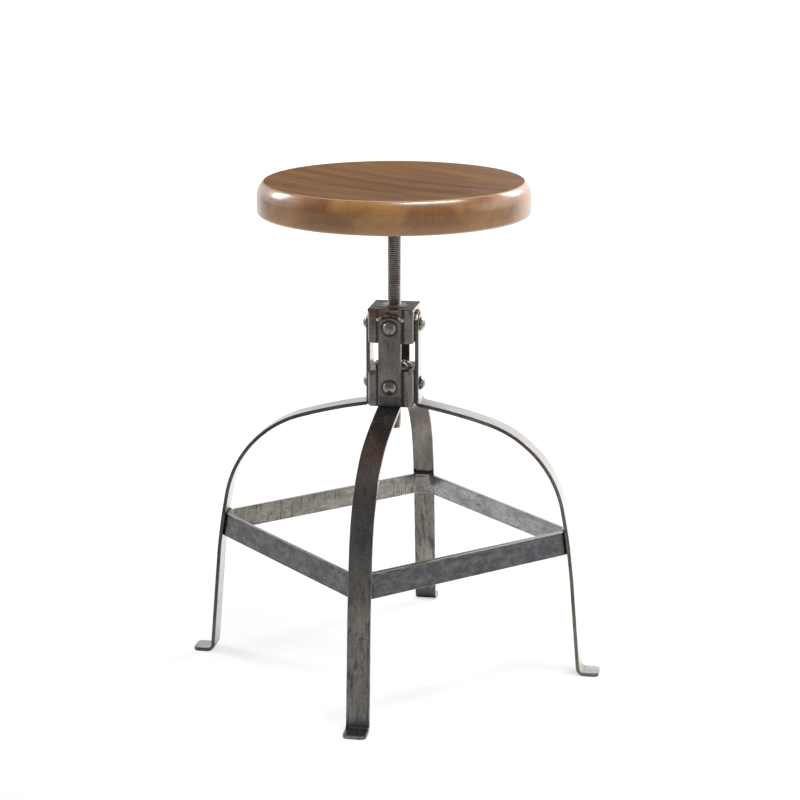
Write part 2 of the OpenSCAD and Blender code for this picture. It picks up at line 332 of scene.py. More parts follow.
def make_mill_scale():
    """Soft streaks, blue and brown patches, dark specks and short cross marks of blackened bar stock."""
    g, given, result = shared_effect(
        "mill_scale", [], ["Tone", "Blue", "Brown", "Speck", "Mark", "Smudge", "Height"])
    place = given["Place"]
    broad = g.drawn(place, (18.0, 45.0, 45.0), 4.0, 0.6, 0.5)
    fine = g.drawn(place, (120.0, 260.0, 260.0), 4.0, 0.65, 0.2)
    tone = g.span(g.plus(g.times(broad, 0.6), g.times(fine, 0.4)), 0.33, 0.67)
    blue = g.span(g.drawn(place, (14.0, 40.0, 30.0), 3.0, 0.6, 0.8), 0.50, 0.66)
    brown = g.span(g.drawn(place, (14.0, 30.0, 26.0), 3.0, 0.55, 0.6, (0.3, 0.1, 0.2)), 0.52, 0.70)
    packed = g.stretch(place, (150.0, 210.0, 210.0))
    cells = g.put("ShaderNodeTexVoronoi", {"Vector": packed, "Scale": 1.0}).outputs["Distance"]
    grit = g.noise(place, 420.0, 2.0, 0.6)
    zone = g.span(g.noise(place, 38.0, 3.0, 0.6, 0.5), 0.48, 0.68)
    speck = g.times(g.span(g.plus(cells, g.times(grit, 0.25)), 0.32, 0.20), zone)
    smudge = g.span(g.drawn(place, (46.0, 85.0, 70.0), 5.0, 0.66, 0.9, (0.7, 0.4, 0.0)), 0.595, 0.655)
    ruled = g.drawn(place, (650.0, 34.0, 60.0), 2.0, 0.5, 0.1, (0.0, 0.0, 0.10))
    ruled = g.times(g.span(ruled, 0.63, 0.72), g.span(g.noise(place, 24.0, 2.0, 0.5), 0.46, 0.60))
    scuff = g.drawn(place, (42.0, 170.0, 60.0), 5.0, 0.72, 0.2, (0.0, 0.0, 0.12))
    mark = g.most(ruled, g.times(g.span(scuff, 0.585, 0.65), 0.75))
    rolled = g.drawn(place, (30.0, 800.0, 800.0), 2.0, 0.5, 0.1)
    height = g.plus(g.times(fine, 0.7), g.times(rolled, 0.3))
    height = g.minus(height, g.times(g.most(speck, mark), 0.6))
    return put_out(g, result, {"Tone": tone, "Blue": blue, "Brown": brown, "Speck": speck, "Mark": mark,
                               "Smudge": smudge, "Height": height})


def make_bar_edges():
    """The rubbed long edges of a bar, and the dark line that lies beside them."""
    g, given, result = shared_effect(
        "bar_edges",
        [("Half Width", BAR_W / 2 * MM), ("Half Thickness", BAR_T / 2 * MM), ("Reach", 0.0012)],
        ["Wear", "Grime"])
    place = given["Place"]
    _, y, z = g.axes(place)
    side = g.minus(given["Half Width"], g.size_of(y))
    face = g.minus(given["Half Thickness"], g.size_of(z))
    apart = g.most(side, face)
    uneven = g.drawn(place, (90.0, 300.0, 300.0), 3.0, 0.6)
    reach = g.times(given["Reach"], g.span(uneven, 0.30, 0.72, 0.15, 1.7))
    wear = g.span(g.calc("DIVIDE", apart, reach), 1.0, 0.45)
    patchy = g.span(g.drawn(place, (45.0, 160.0, 160.0), 3.0, 0.6), 0.46, 0.66)
    grime = g.times(g.span(apart, 0.0042, 0.0012), patchy, g.minus(1.0, wear))
    return put_out(g, result, {"Wear": wear, "Grime": grime})


def make_stains_and_shade():
    """Dark marks and weld burn: darkening round the bolts and below the lower bolt, painted shade beside the
    straps, on the upper plate's top and in the footrest's joints, sooty weld with painted shade above the
    footrest, and weld burn at the plates and the footrest.
    """
    g, given, result = shared_effect("stains_and_shade", [], ["Grime", "Burn"])
    half_bar = BAR_W / 2 * MM
    ring_top = RING_Z[1] * MM
    tube_top = UPPER_TUBE[1] * MM
    plate_top = (UPPER_TUBE[1] + PLATE_T) * MM
    place = given["Place"]
    x, y, z = g.axes(place)
    beside = g.calc("MINIMUM", g.size_of(x), g.size_of(y))
    reach = g.most(g.size_of(x), g.size_of(y))
    wobble = g.times(g.minus(g.noise(place, 160.0, 3.0, 0.6), 0.5), 0.004)
    cloud = g.noise(place, 70.0, 4.0, 0.6, 0.6)
    patch = g.span(g.noise(place, 60.0, 2.0, 0.5), 0.40, 0.62)
    ragged = g.plus(z, g.times(g.minus(cloud, 0.5), 0.02))
    on_head = g.span(reach, 0.046, 0.040)
    off_bar = g.span(beside, half_bar + 0.0001, half_bar + 0.0003)
    on_bar = g.span(beside, half_bar + 0.0003, half_bar + 0.0001)
    near_ring = g.span(reach, 0.19, 0.20)

    # Darkening round the bolts and below the lower bolt, and painted shade along the straps' sides
    bolts = [g.span(g.plus(g.distance(beside, g.minus(z, height * MM)), wobble), 0.0125, 0.0100)
             for height in (UPPER_BOLT_Z, LOWER_BOLT_Z)]
    shade_beside_straps = g.times(off_bar, g.span(g.plus(beside, wobble), 0.0196, 0.0186))
    round_bolts = g.times(g.most(*bolts, shade_beside_straps), on_head)
    strap_foot = g.times(g.span(g.plus(z, wobble), 0.3815, 0.3795), on_bar,
                         g.span(reach, 0.0345, 0.0350), on_head)

    # Burn below the upper plate, darkest at its front left corner
    below_plate = g.times(g.span(ragged, tube_top - 0.0085, tube_top - 0.0020), on_head, patch)
    scorch = g.times(g.span(x, 0.004, -0.016), g.span(y, -0.024, -0.0285),
                     g.span(ragged, tube_top - 0.0120, tube_top - 0.0050), on_head)
    # Painted shade on the upper plate's top, under the seat
    shaded_plate_top = g.span(z, plate_top - 0.0011, plate_top - 0.0003)

    # Where the footrest meets the legs: weld burn, painted shade in the joint gaps, and sooty weld with
    # painted shade just above the footrest
    clear_of_leg = g.times(off_bar, near_ring)
    corner = g.span(g.plus(beside, g.times(cloud, 0.012)), 0.031, 0.022)
    foot = g.times(corner, patch, clear_of_leg)
    gap_shade = g.times(g.span(g.plus(beside, g.times(wobble, 0.6)), 0.0170, 0.0162), clear_of_leg,
                  g.span(z, ring_top - 0.0075, ring_top - 0.0135))
    weld_soot_and_shade = g.times(g.span(g.plus(z, g.times(wobble, 1.5)), ring_top + 0.0060, ring_top + 0.0040),
                   g.span(z, ring_top - 0.0010, ring_top), g.span(reach, 0.2330, 0.2320), near_ring)

    # Dark marks, partly painted shade, and weld burn
    grime = g.most(round_bolts, g.times(gap_shade, 0.4), weld_soot_and_shade, g.times(strap_foot, 0.6), g.times(shaded_plate_top, 0.6))
    burn = g.most(below_plate, scorch, g.times(foot, 0.35))
    return put_out(g, result, {"Grime": grime, "Burn": burn})


def make_plank_grain():
    """Long streaks, cathedral bands and fine pores of a plank that lies along X."""
    g, given, result = shared_effect("plank_grain", [], ["Streak", "Band", "Pore"])
    place = given["Place"]
    drift = g.put("ShaderNodeTexNoise", {"Vector": g.stretch(place, (3.0, 9.0, 9.0)), "Scale": 1.0,
                                         "Detail": 2.0}).outputs[1]
    drift = g.put("ShaderNodeVectorMath", {0: drift, "Scale": 0.035}, operation="SCALE").outputs[0]
    bent = g.put("ShaderNodeVectorMath", {0: place, 1: drift}, operation="ADD").outputs[0]
    streak = g.span(g.drawn(bent, (7.0, 210.0, 80.0), 5.0, 0.68, 0.3), 0.38, 0.62)
    band = g.span(g.drawn(bent, (2.2, 30.0, 26.0), 5.0, 0.66, 0.2), 0.33, 0.67)
    pore = g.span(g.drawn(bent, (45.0, 1100.0, 900.0), 2.0, 0.5), 0.60, 0.74)
    return put_out(g, result, {"Streak": streak, "Band": band, "Pore": pore})


def new_material(name):
    material = bpy.data.materials.new(name)
    material.use_nodes = True
    material.node_tree.nodes.clear()
    return material, Graph(material.node_tree)


def close_material(graph, shader):
    end = graph.put("ShaderNodeOutputMaterial")
    graph.tree.links.new(shader, end.inputs["Surface"])


# Colours of steel, some of them painted light and shade. A pair is the dark and the light tone of a patchy
# finish.
SCALE_BLUE = shade(0.16, 0.175, 0.205)
SCALE_BROWN = shade(0.19, 0.155, 0.120)
INNER_LEG = (shade(0.125, 0.113, 0.095), shade(0.215, 0.197, 0.166))
INNER_RING = (shade(0.165, 0.150, 0.126), shade(0.300, 0.277, 0.236))
INNER_REAR_RIGHT = (shade(0.19, 0.189, 0.187), shade(0.37, 0.368, 0.36))
OUTER_RING = (shade(0.084, 0.090, 0.106), shade(0.200, 0.206, 0.220))
NARROW_SHADED = (shade(0.066, 0.053, 0.042), shade(0.150, 0.124, 0.100))
NARROW_LIT = (shade(0.115, 0.095, 0.076), shade(0.240, 0.205, 0.168))
DASH = shade(0.04, 0.038, 0.04)
HANDLED = shade(0.25, 0.230, 0.195)
SCUFFED = shade(0.058, 0.052, 0.050)
HEATED = shade(0.115, 0.082, 0.066)
SHADED_BEND = shade(0.045, 0.042, 0.042)
SHADED_FOOT = shade(0.05, 0.048, 0.047)
STRAP_BROWN = shade(0.21, 0.18, 0.16)
SMUDGED = shade(0.075, 0.08, 0.10)
MARKED = shade(0.05, 0.048, 0.05)
SPECKLED = shade(0.045, 0.04, 0.038)
CORNER_HIGHLIGHT = shade(0.46, 0.43, 0.39)
SOOT_AND_SHADE = shade(0.035, 0.034, 0.045)
WELD_BURN = shade(0.150, 0.074, 0.050)
EDGE_GRIME = shade(0.07, 0.068, 0.075)

# Along the bar, in metres: past every leg but short of the footrest, and the ends of its first two sides
PAST_LEGS = 9.0
FIRST_CORNER = 9.44
SECOND_CORNER = 9.78


def ring_tones(g, place, tone, colour):
    """Tones of the bar's inner face, the footrest's outer face and the dashes on its rear left side."""
    x, _, z = g.axes(place)
    on_ring = g.span(x, PAST_LEGS - 0.1, PAST_LEGS)
    rear_right = g.times(on_ring, g.span(x, FIRST_CORNER + 0.02, FIRST_CORNER - 0.02))
    rear_left = g.times(g.span(x, FIRST_CORNER, FIRST_CORNER + 0.02),
                        g.span(x, SECOND_CORNER + 0.02, SECOND_CORNER))
    inner = g.mix(on_ring, g.mix(tone, *INNER_LEG), g.mix(tone, *INNER_RING))
    inner = g.mix(rear_right, inner, g.mix(tone, *INNER_REAR_RIGHT))
    colour = g.tint(colour, g.span(z, -0.0015, -0.0024), 0.75, inner)
    mottle = g.span(g.drawn(place, (75.0, 120.0, 110.0), 6.0, 0.7, 0.3), 0.42, 0.60)
    outer_ring = g.times(on_ring, g.span(z, 0.0015, 0.0024))
    colour = g.tint(colour, outer_ring, 0.62, g.mix(mottle, *OUTER_RING))
    dash = g.span(g.drawn(place, (560.0, 24.0, 60.0), 2.0, 0.5, 0.1), 0.60, 0.66)
    colour = g.tint(colour, g.times(dash, rear_left), 0.95, DASH)
    return colour, g.minus(1.0, on_ring)


def leg_tones(g, place, solid, tone, colour, on_leg):
    """Tones down a leg: brown strap, heated sweep, handled shin, painted shade, partly sooty, at the foot's
    bend, painted shade on the back foot, and narrow faces in a darker tone with painted light on the right
    legs and painted shade on the left.
    """
    x, y, z = g.axes(solid)
    length, width, _ = g.axes(place)
    low_leg = g.times(g.span(z, 0.26, 0.16), on_leg)
    colour = g.tint(colour, low_leg, 0.35, HANDLED)
    scuffs = g.span(g.drawn(place, (34.0, 210.0, 60.0), 5.0, 0.72, 0.0, (0.0, 0.0, 0.1)), 0.53, 0.61)
    hairs = g.span(g.drawn(place, (1500.0, 18.0, 60.0), 2.0, 0.5), 0.58, 0.68)
    worked = g.most(g.times(scuffs, 0.75), g.times(hairs, 0.55))
    colour = g.tint(colour, worked, low_leg, SCUFFED)
    heated = g.times(g.span(z, 0.255, 0.300), g.span(z, 0.362, 0.350), on_leg)
    colour = g.tint(colour, heated, 0.55, HEATED)
    # The foot's bend is darkened: painted shade, partly sooty
    down_leg = g.calc("MODULO", length, LEG_SHIFT * MM)
    shaded_bend = g.times(g.span(down_leg, FOOT_BEND - 0.010, FOOT_BEND),
                     g.span(down_leg, FOOT_BEND + 0.015, FOOT_BEND + 0.012), on_leg)
    colour = g.tint(colour, shaded_bend, 0.55, SHADED_BEND)
    # Narrow faces in a darker tone: painted light on the right legs' and painted shade on the left legs'
    narrow = g.times(g.span(g.size_of(width), 0.0145, 0.0148), on_leg)
    lit_right_legs = g.span(x, 0.0, 0.06)
    narrow_tone = g.mix(lit_right_legs, g.mix(tone, *NARROW_SHADED), g.mix(tone, *NARROW_LIT))
    colour = g.tint(colour, narrow, 0.9, narrow_tone)
    back_foot = g.times(g.span(z, 0.034, 0.016), g.span(y, 0.10, 0.20))
    colour = g.tint(colour, back_foot, 0.6, SHADED_FOOT)
    strap = g.times(g.span(z, 0.366, 0.372), on_leg)
    colour = g.tint(colour, strap, 0.35, STRAP_BROWN)
    return colour, narrow, heated


def steel(name, low, high, worn=None, rough=(0.32, 0.22), on_bar=False, stains_and_painted_light=False, upright_only=False,
          tinted=0.55, speckled=0.85, skin=1.0):
    """Blackened steel between two tones, with patches, specks, rubbed edges, stains, painted shade and a
    painted highlight on the bracket's front right.

    The patches show by the share tinted, the specks by speckled, and the gloss at a slant by skin.
    """
    material, g = new_material(name)
    solid = g.coordinates()
    place = g.put("ShaderNodeAttribute", attribute_name="blank").outputs["Vector"] if on_bar else solid
    scale = g.group(MILL_SCALE, place)
    tone = scale["Tone"]
    colour = g.mix(tone, low, high)
    colour = g.tint(colour, scale["Blue"], tinted, SCALE_BLUE)
    colour = g.tint(colour, scale["Brown"], tinted, SCALE_BROWN)
    if on_bar:
        colour, on_leg = ring_tones(g, place, tone, colour)
        colour, narrow, heated = leg_tones(g, place, solid, tone, colour, on_leg)
    colour = g.tint(colour, scale["Smudge"], 0.55, SMUDGED)
    colour = g.tint(colour, scale["Mark"], 0.75, MARKED)
    colour = g.tint(colour, scale["Speck"], speckled, SPECKLED)
    if stains_and_painted_light and not on_bar:
        # A painted highlight in vertical streaks on the bracket's front, right of the strap up to the rounded
        # corner
        x, y, _ = g.axes(solid)
        highlight_streaks = g.span(g.drawn(solid, (420.0, 420.0, 16.0), 3.0, 0.6), 0.42, 0.60)
        corner = g.times(g.span(x, 0.0165, 0.0200), highlight_streaks, g.span(y, -0.025, -0.029))
        colour = g.tint(colour, corner, 0.45, CORNER_HIGHLIGHT)
    if stains_and_painted_light:
        # Dark marks, partly painted shade, and weld burn
        stains = g.group(STAINS_AND_SHADE, solid)
        colour = g.tint(colour, stains["Grime"], 0.85, SOOT_AND_SHADE)
        colour = g.tint(colour, stains["Burn"], 0.75, WELD_BURN)
    bumps = scale["Height"]
    if on_bar:
        edges = g.group(BAR_EDGES, place)
        colour = g.tint(colour, edges["Grime"], 0.55, EDGE_GRIME)
        colour = g.tint(colour, edges["Wear"], g.span(narrow, 0.0, 1.0, 0.8, 0.15), worn)
        bumps = g.times(bumps, g.span(heated, 0.0, 1.0, 1.0, 0.2))
    facing = g.put("ShaderNodeLayerWeight", {"Blend": 0.5}).outputs["Facing"]
    gloss = g.times(g.span(facing, 0.46, 0.73), skin)
    if upright_only:
        lie = g.size_of(g.axes(g.put("ShaderNodeNewGeometry").outputs["Normal"])[2])
        gloss = g.times(gloss, g.span(lie, 0.8, 0.4))
    relief = g.put("ShaderNodeBump", {"Strength": 0.22, "Distance": 0.0004, "Height": bumps})
    surface = g.put("ShaderNodeBsdfPrincipled", {
        "Base Color": colour, "Roughness": g.span(tone, 0.0, 1.0, *rough), "Metallic": 0.92,
        "Normal": relief.outputs[0], "Coat Weight": gloss, "Coat Roughness": 0.2, "Coat IOR": 2.6})
    close_material(g, surface.outputs[0])
    return material


def cut_thread_steel():
    """Thread with polished crests and dirty roots."""
    root_colour, crest_colour = shade(0.19, 0.17, 0.165), shade(0.72, 0.68, 0.65)
    stain_colour = shade(0.16, 0.115, 0.095)
    material, g = new_material("cut_thread_steel")
    place = g.coordinates()
    x, y, _ = g.axes(place)
    cloud = g.span(g.noise(place, 160.0, 4.0, 0.6), 0.35, 0.65)
    crest = g.times(g.span(g.distance(x, y), 0.0078, 0.0086), g.span(cloud, 0.0, 1.0, 0.65, 1.0))
    colour = g.mix(crest, root_colour, crest_colour)
    stain = g.span(g.noise(place, 45.0, 3.0, 0.6), 0.5, 0.65)
    colour = g.tint(colour, stain, 0.4, stain_colour)
    surface = g.put("ShaderNodeBsdfPrincipled", {
        "Base Color": colour, "Metallic": 0.92, "Roughness": g.span(crest, 0.0, 1.0, 0.5, 0.26)})
    close_material(g, surface.outputs[0])
    return material


def weld_metal():
    """Lumpy weld with blue and brown heat colours, light grit that is partly painted glints, painted
    highlights at the arch ends, painted light on the right and painted shade on the left of the lower plate's
    weld, and dark weld with painted shade at the footrest.
    """
    cool, warm, grit_glint = shade(0.14, 0.135, 0.15), shade(0.40, 0.36, 0.32), shade(0.50, 0.47, 0.44)
    burnt_dark, burnt_light = shade(0.11, 0.082, 0.062), shade(0.22, 0.175, 0.135)
    burnt_grit_glint, arch_end_highlight = shade(0.62, 0.56, 0.50), shade(0.78, 0.75, 0.71)
    shaded_left, lit_right = shade(0.11, 0.11, 0.125), shade(0.72, 0.69, 0.65)
    dark_weld_and_shade = shade(0.06, 0.05, 0.05)
    material, g = new_material("weld_metal")
    place = g.coordinates()
    x, y, z = g.axes(place)
    hue = g.span(g.noise(place, 55.0, 3.0, 0.6, 0.5), 0.36, 0.64)
    grit = g.span(g.noise(place, 320.0, 4.0, 0.65), 0.35, 0.65)
    # Light grit: the weld's own grit, partly painted glints
    colour = g.tint(g.mix(hue, cool, warm), grit, 0.45, grit_glint)
    burnt = g.tint(g.mix(hue, burnt_dark, burnt_light), g.span(grit, 0.55, 0.8), 0.3, burnt_grit_glint)
    # Painted highlights at both ends of each arch over a strap
    aside = g.calc("MINIMUM", g.size_of(x), g.size_of(y))
    burnt = g.tint(burnt, g.span(aside, 0.0100, 0.0128), 0.85, arch_end_highlight)
    on_arch = g.times(g.span(z, 0.450, 0.460), g.span(z, 0.4925, 0.4915))
    colour = g.mix(on_arch, colour, burnt)
    # Painted light on the right of the lower plate's weld and painted shade on its left
    lower_plate = g.times(g.span(z, 0.440, 0.430), g.span(z, 0.405, 0.408))
    lit_and_shaded_sides = g.mix(g.span(x, -0.006, 0.006), shaded_left, lit_right)
    colour = g.tint(colour, lower_plate, 0.7, lit_and_shaded_sides)
    # Dark footrest welds, with painted shade
    colour = g.tint(colour, g.span(z, 0.23, 0.22), 0.8, dark_weld_and_shade)
    relief = g.put("ShaderNodeBump", {"Strength": 0.5, "Distance": 0.0006, "Height": grit})
    surface = g.put("ShaderNodeBsdfPrincipled", {
        "Base Color": colour, "Roughness": 0.38, "Metallic": 0.9, "Normal": relief.outputs[0]})
    close_material(g, surface.outputs[0])
    return material


def lacquered_wood():
    """Hardwood with a brown stain: a redder, darker top and a golden side under a clear lacquer, with a
    painted sheen towards the back of the top and painted light low on the side.
    """
    top_dark, top_light = shade(0.110, 0.047, 0.018), shade(0.262, 0.128, 0.046)
    top_streak, far_sheen = shade(0.132, 0.055, 0.020), shade(0.285, 0.152, 0.066)
    side_dark, side_light = shade(0.225, 0.082, 0.016), shade(0.430, 0.205, 0.052)
    side_streak, lit_side_foot = shade(0.33, 0.140, 0.034), shade(0.42, 0.225, 0.078)
    pore_dark, edge_pale = shade(0.095, 0.040, 0.020), shade(0.62, 0.42, 0.26)
    plank_turn = (0.0, 0.03, math.radians(31.0))
    seat_top = (SEAT_Z + SEAT_T) * MM
    edge_r = 0.1694
    material, g = new_material("lacquered_wood")
    place = g.coordinates()
    x, y, z = g.axes(place)
    r = g.distance(x, y)
    grain = g.group(PLANK_GRAIN, g.stretch(place, (1.0, 1.0, 1.0), plank_turn))
    on_top = g.times(g.span(z, seat_top - 0.0055, seat_top - 0.0040),
                     g.span(r, edge_r - 0.0001, edge_r - 0.0005))
    top = g.tint(g.mix(grain["Band"], top_dark, top_light), grain["Streak"], 0.7, top_streak)
    # Painted sheen: the top lighter towards the back
    top = g.tint(top, g.span(y, -0.05, 0.17), 0.35, far_sheen)
    cloud = g.span(g.noise(place, 16.0, 4.0, 0.6, 0.4), 0.36, 0.64)
    side = g.tint(g.mix(cloud, side_dark, side_light), grain["Streak"], 0.4, side_streak)
    # Painted light: the side lighter and warmer towards its foot
    side = g.tint(side, g.span(z, 0.634, 0.622), 0.5, lit_side_foot)
    colour = g.tint(g.mix(on_top, side, top), grain["Pore"], 0.4, pore_dark)
    line = g.times(g.span(g.size_of(g.minus(r, edge_r)), 0.0011, 0.0003),
                   g.span(z, seat_top - 0.0020, seat_top - 0.0010))
    colour = g.tint(colour, line, 0.6, edge_pale)
    relief = g.put("ShaderNodeBump", {"Strength": 0.06, "Distance": 0.0003, "Height": grain["Pore"]},
                   invert=True)
    surface = g.put("ShaderNodeBsdfPrincipled", {
        "Base Color": colour, "Roughness": 0.5, "Specular IOR Level": 0.3, "Normal": relief.outputs[0],
        "Coat Weight": g.span(on_top, 0.0, 1.0, 1.0, 0.10), "Coat Roughness": 0.24, "Coat IOR": 1.8})
    close_material(g, surface.outputs[0])
    return material


WHITE = shade(1.0, 1.0, 1.0)
MILL_SCALE = make_mill_scale()
BAR_EDGES = make_bar_edges()
STAINS_AND_SHADE = make_stains_and_shade()
PLANK_GRAIN = make_plank_grain()

BAR_STEEL = steel("bar_steel", shade(0.122, 0.124, 0.132), shade(0.300, 0.284, 0.262),
                  worn=shade(0.36, 0.325, 0.285), on_bar=True, stains_and_painted_light=True)
BRACKET_STEEL = steel("bracket_steel", shade(0.170, 0.158, 0.152), shade(0.285, 0.268, 0.255),
                      stains_and_painted_light=True, upright_only=True)
BOLT_STEEL = steel("bolt_steel", shade(0.20, 0.185, 0.175), shade(0.46, 0.44, 0.42),
                   rough=(0.40, 0.22), speckled=0.5, skin=0.15)
BUSH_STEEL = steel("bush_steel", shade(0.40, 0.385, 0.37), shade(0.60, 0.585, 0.56),
                   rough=(0.36, 0.24), tinted=0.2, speckled=0.3)
ROD_STEEL = cut_thread_steel()
WELD = weld_metal()
WOOD = lacquered_wood()


# Seat
def seat_outline():
    """Half section of the seat: underside, foot round, side, two rim rounds, crisp edge and dish."""
    middle, start = math.radians(RIM_MID), math.radians(RIM_START)
    drop = RIM_TOP_R * (math.sin(start) - math.sin(middle)) + RIM_SIDE_R * math.sin(middle)
    side = (SEAT_R - RIM_SIDE_R, SEAT_T - drop)
    lift = RIM_SIDE_R - RIM_TOP_R
    top = (side[0] + lift * math.cos(middle), side[1] + lift * math.sin(middle))
    edge_r = top[0] + RIM_TOP_R * math.cos(start)
    dish_r = (edge_r * edge_r + SEAT_DISH * SEAT_DISH) / (2 * SEAT_DISH)
    points = [(r, 0.0) for r in (0.0, 30.0, 70.0, 110.0, 150.0)]
    points += arc(SEAT_R - SEAT_FOOT_R, SEAT_FOOT_R, SEAT_FOOT_R, -90, 0, 8)
    points += arc(*side, RIM_SIDE_R, 0, RIM_MID, 12)
    points += arc(*top, RIM_TOP_R, RIM_MID, RIM_START - 2, 8)[1:]
    points += [(edge_r + 0.10, SEAT_T - 0.10), (edge_r - 0.30, SEAT_T), (edge_r - 0.75, SEAT_T - 0.03)]
    for share in (0.99, 0.96, 0.92, 0.86, 0.78, 0.68, 0.56, 0.43, 0.29, 0.14, 0.0):
        r = edge_r * share
        points.append((r, SEAT_T - SEAT_DISH + dish_r - math.sqrt(dish_r * dish_r - r * r)))
    return points


def make_seat_board():
    bm = bmesh.new()
    lathe(bm, [(r, z + SEAT_Z) for r, z in seat_outline()], 192)
    finish_piece(bm, "seat_board_turned", "seat", WOOD, ("seat_board",), sharp=40, flat=False)


# Threaded rod
def make_threaded_rod():
    """One turn of the thread is wound, repeated up the rod and cut level at both ends."""
    around = 36
    low, high = ROD_Z
    turns = int((high - low) / ROD_PITCH) + 4
    start = low - 2 * ROD_PITCH
    # Radius against the share of one pitch: crest, flank, root, flank
    side = [(ROD_R, 0.0), (ROD_R, 0.13), (ROD_ROOT_R, 0.50), (ROD_ROOT_R, 0.63), (ROD_R, 1.0)]
    bm = bmesh.new()
    row = row_of_points(bm, [(r, start + share * ROD_PITCH) for r, share in side])
    bmesh.ops.spin(bm, geom=row, cent=(0, 0, 0), axis=(0, 0, 1), dvec=(0, 0, ROD_PITCH / around),
                   angle=math.tau, steps=around)
    first = bm.verts[:] + bm.edges[:] + bm.faces[:]
    for number in range(1, turns):
        copy = bmesh.ops.duplicate(bm, geom=first)
        moved = [part for part in copy["geom"] if isinstance(part, bmesh.types.BMVert)]
        bmesh.ops.translate(bm, vec=(0, 0, number * ROD_PITCH), verts=moved)
    bmesh.ops.remove_doubles(bm, verts=bm.verts[:], dist=0.01)
    for height, up in ((low, -1), (high, 1)):
        bmesh.ops.bisect_plane(bm, geom=bm.verts[:] + bm.edges[:] + bm.faces[:], plane_co=(0, 0, height),
                               plane_no=(0, 0, up), clear_outer=True)
    rim = [e for e in bm.edges if len(e.link_faces) == 1]
    bmesh.ops.holes_fill(bm, edges=rim, sides=0)
    for v in bm.verts:
        most = ROD_R - ROD_CHAMFER + (v.co.z - low)
        r = math.hypot(v.co.x, v.co.y)
        if r > most:
            v.co.x *= most / r
            v.co.y *= most / r
    finish_piece(bm, "threaded_rod_cut", "seat", ROD_STEEL, ("threaded_rod",), sharp=25,
                 flat=False)


# Legs
class BarPath:
    """Centre line of a leg as (reach, height) against the length of bar used up."""

    def __init__(self):
        self.runs = []
        self.at = Vector((TUBE_W / 2 + BAR_T / 2, STRAP_TOP))
        self.heading = 90.0
        self.length = 0.0

    def ahead(self, heading):
        return Vector((math.cos(math.radians(heading)), -math.sin(math.radians(heading))))

    def across(self, heading):
        return Vector((math.sin(math.radians(heading)), math.cos(math.radians(heading))))

    def straight(self, length):
        self.runs.append((self.length, length, self.at.copy(), self.heading, 0.0))
        self.at = self.at + self.ahead(self.heading) * length
        self.length += length

    def turn(self, radius, angle):
        """Positive angles turn the bar down, negative ones bring it level."""
        length = radius * math.radians(abs(angle))
        bend = math.copysign(radius, angle)
        self.runs.append((self.length, length, self.at.copy(), self.heading, bend))
        centre = self.at - bend * self.across(self.heading)
        self.heading += angle
        self.at = centre + bend * self.across(self.heading)
        self.length += length

    def point(self, s, off):
        """Place of a point off the centre line, at a length of bar."""
        for start, length, at, heading, bend in self.runs:
            if s <= start + length + 1e-6 or (start, length) == self.runs[-1][:2]:
                break
        d = s - start
        if bend:
            centre = at - bend * self.across(heading)
            return centre + (bend + off) * self.across(heading + math.degrees(d / bend))
        return at + d * self.ahead(heading) + off * self.across(heading)


def leg_path():
    """Strap, sharp bend, near-level shoulder, sweep, flared shin and foot."""
    path = BarPath()
    path.straight(STRAP_TOP - BEND_Z)
    path.turn(BEND_IN_R + BAR_T / 2, RUN_SLOPE - 90)
    path.turn(RUN_L / math.radians(RUN_TURN), RUN_TURN)
    path.turn(SWEEP_R, SWEEP_TURN)
    path.turn(FLARE_L / math.radians(FLARE_TURN), FLARE_TURN)
    foot_r = FOOT_IN_R + BAR_T / 2
    drop = path.at[1] - BAR_T / 2 - foot_r * (1 - math.cos(math.radians(path.heading)))
    path.straight(drop / math.sin(math.radians(path.heading)))
    path.turn(foot_r, -path.heading)
    path.straight(FOOT_L)
    return path


def leg_runs(path):
    """Stretches of the bar with the pitch at which each is sliced, finest in the sharp bends."""
    strap_end, foot_tip = 8.0, 7.5
    tip_start = path.length - foot_tip
    runs = [(0.0, strap_end, strap_end)]
    for start, length, _, _, bend in path.runs:
        radius = abs(bend) or math.inf
        pitch = 1.2 if radius < 20 else 5.0 if radius < 300 else 8.0
        runs.append((max(start, strap_end), min(start + length, tip_start), pitch))
    return runs + [(tip_start, path.length, foot_tip)]


def make_leg(name, angle, index):
    """The bar is drawn flat, with its rounded ends, and then bent along the leg's path."""
    path = leg_path()
    bm = sheet(path.length, BAR_W, (path.length / 2, 0, -BAR_T / 2))
    round_corners(bm, [v for v in bm.verts if v.co.x > 1], FOOT_CORNER_R)
    end = [e for e in bm.edges if all(v.co.x < 1 for v in e.verts)]
    bmesh.ops.subdivide_edges(bm, edges=end, cuts=11)
    for v in bm.verts:
        if v.co.x < 1:
            v.co.x = STRAP_END_R - math.sqrt(STRAP_END_R ** 2 - v.co.y ** 2)
    thicken(bm, BAR_T)
    round_edges(bm, level_creases(bm), 0.7)
    slice_runs(bm, leg_runs(path))
    blank = blank_layer(bm)
    shift = Vector((index * LEG_SHIFT, 0, 0))
    aside = about_z(angle)
    for v in bm.verts:
        v[blank] = (v.co + shift) * MM
        s, y, off = v.co
        # Forged unevenness, which fades out towards the strap and the foot
        uneven = min(1.0, max(0.0, (path.length - 60 - s) / 60), max(0.0, (s - 130) / 60))
        off += 0.22 * uneven * noise.noise(Vector((s * 0.03 + index * 17, 0, 0)))
        y *= 1 - 0.012 * uneven * (0.5 + 0.5 * noise.noise(Vector((s * 0.05, index * 7.0, y * 0.02))))
        reach, height = path.point(s, off)
        v.co = aside @ Vector((reach, y, height))
    finish_piece(bm, name + "_bar", "base", BAR_STEEL, (name,))


